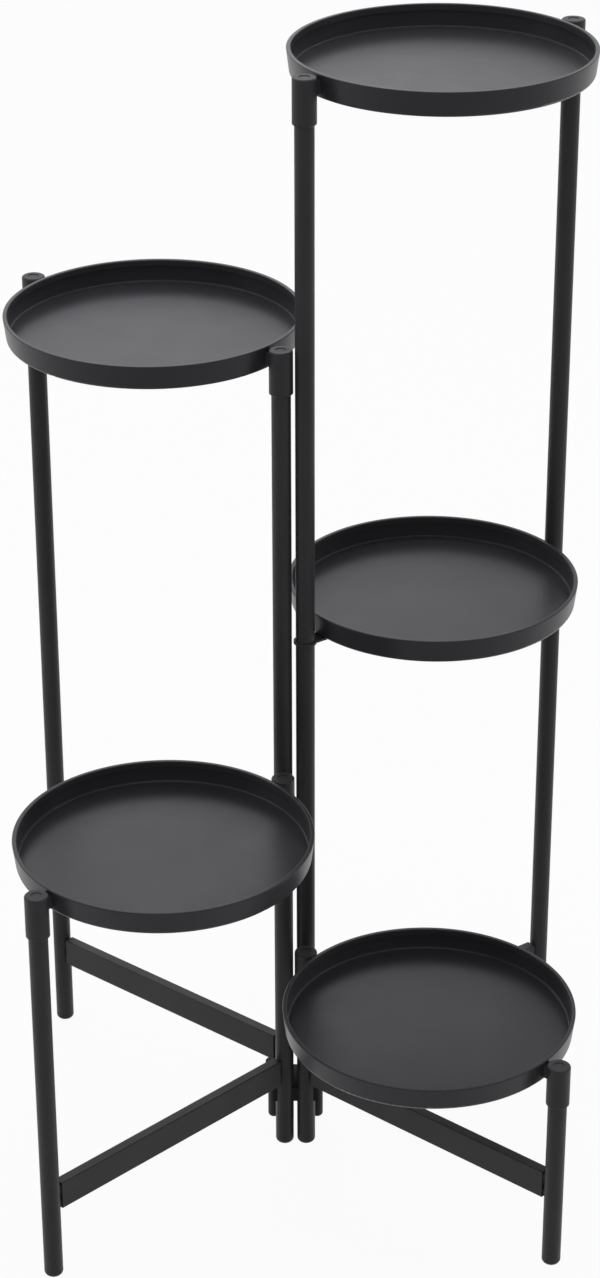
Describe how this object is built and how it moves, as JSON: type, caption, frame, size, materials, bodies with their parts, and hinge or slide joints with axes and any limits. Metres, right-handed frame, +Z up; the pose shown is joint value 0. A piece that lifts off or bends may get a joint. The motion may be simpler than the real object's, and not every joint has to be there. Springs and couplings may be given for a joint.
{
  "type": "tiered plant stand",
  "caption": "Tiered plant stand with round pan trays at staggered heights on tube panels that swing about a small hub.",
  "frame": {"origin": "on the floor, below the middle of the whole stand", "axes": "+Z up, +Y to the back, +X to the right as seen from the front"},
  "size_m": [0.466, 0.4408, 0.944],
  "materials": {
    "tray_coat": "satin black powder coat",
    "frame_coat": "satin black powder coat",
    "end_cap": "moulded black",
    "bar_plug": "moulded black",
    "hub_plastic": "moulded black",
    "spigot_steel": "plain tube, hidden"
  },
  "bodies": {
    "hub": {"hub_block": "hub_plastic", "left_rear_leg": "frame_coat", "right_rear_leg": "frame_coat"},
    "left_front_panel": {"left_front_crossbar": "frame_coat", "left_front_inner_bar_plug": "bar_plug", "left_front_inner_foot": "end_cap", "left_front_inner_socket": "frame_coat", "left_front_inner_tube": "frame_coat", "left_front_outer_bar_plug": "bar_plug", "left_front_outer_foot": "end_cap", "left_front_outer_socket": "frame_coat", "left_front_outer_tube": "frame_coat", "left_front_tray": "tray_coat"},
    "right_front_panel": {"right_front_crossbar": "frame_coat", "right_front_inner_bar_plug": "bar_plug", "right_front_inner_foot": "end_cap", "right_front_inner_socket": "frame_coat", "right_front_inner_tube": "frame_coat", "right_front_outer_bar_plug": "bar_plug", "right_front_outer_foot": "end_cap", "right_front_outer_socket": "frame_coat", "right_front_outer_tube": "frame_coat", "right_front_tray": "tray_coat"},
    "left_back_panel": {"left_back_crossbar": "frame_coat", "left_back_inner_bar_plug": "bar_plug", "left_back_inner_coupler": "spigot_steel", "left_back_inner_foot": "end_cap", "left_back_inner_lower_tube": "frame_coat", "left_back_inner_socket": "frame_coat", "left_back_inner_upper_tube": "frame_coat", "left_back_outer_bar_plug": "bar_plug", "left_back_outer_coupler": "spigot_steel", "left_back_outer_foot": "end_cap", "left_back_outer_lower_tube": "frame_coat", "left_back_outer_socket": "frame_coat", "left_back_outer_upper_tube": "frame_coat", "left_back_tray": "tray_coat"},
    "right_back_panel": {"right_back_crossbar": "frame_coat", "right_back_inner_bar_plug": "bar_plug", "right_back_inner_coupler": "spigot_steel", "right_back_inner_foot": "end_cap", "right_back_inner_lower_tube": "frame_coat", "right_back_inner_socket": "frame_coat", "right_back_inner_upper_tube": "frame_coat", "right_back_outer_bar_plug": "bar_plug", "right_back_outer_coupler": "spigot_steel", "right_back_outer_foot": "end_cap", "right_back_outer_lower_tube": "frame_coat", "right_back_outer_socket": "frame_coat", "right_back_outer_upper_tube": "frame_coat", "right_back_tray": "tray_coat", "middle_tray": "tray_coat", "middle_tray_inner_lug": "frame_coat", "middle_tray_outer_lug": "frame_coat"}
  },
  "joints": [
    {"name": "left_front_swing", "type": "hinge", "parent": "hub", "child": "left_front_panel", "pos_m": [-0.01134, -0.00952, 0], "axis": [0, 0, 1], "range_deg": [-42, 46]},
    {"name": "right_front_swing", "type": "hinge", "parent": "hub", "child": "right_front_panel", "pos_m": [0.00716, -0.00952, 0], "axis": [0, 0, 1], "range_deg": [-46, 38]},
    {"name": "left_back_swing", "type": "hinge", "parent": "hub", "child": "left_back_panel", "pos_m": [-0.01134, 0.01808, 0], "axis": [0, 0, 1], "range_deg": [-52, 42]},
    {"name": "right_back_swing", "type": "hinge", "parent": "hub", "child": "right_back_panel", "pos_m": [0.00716, 0.01808, 0], "axis": [0, 0, 1], "range_deg": [-40, 52]}
  ]
}
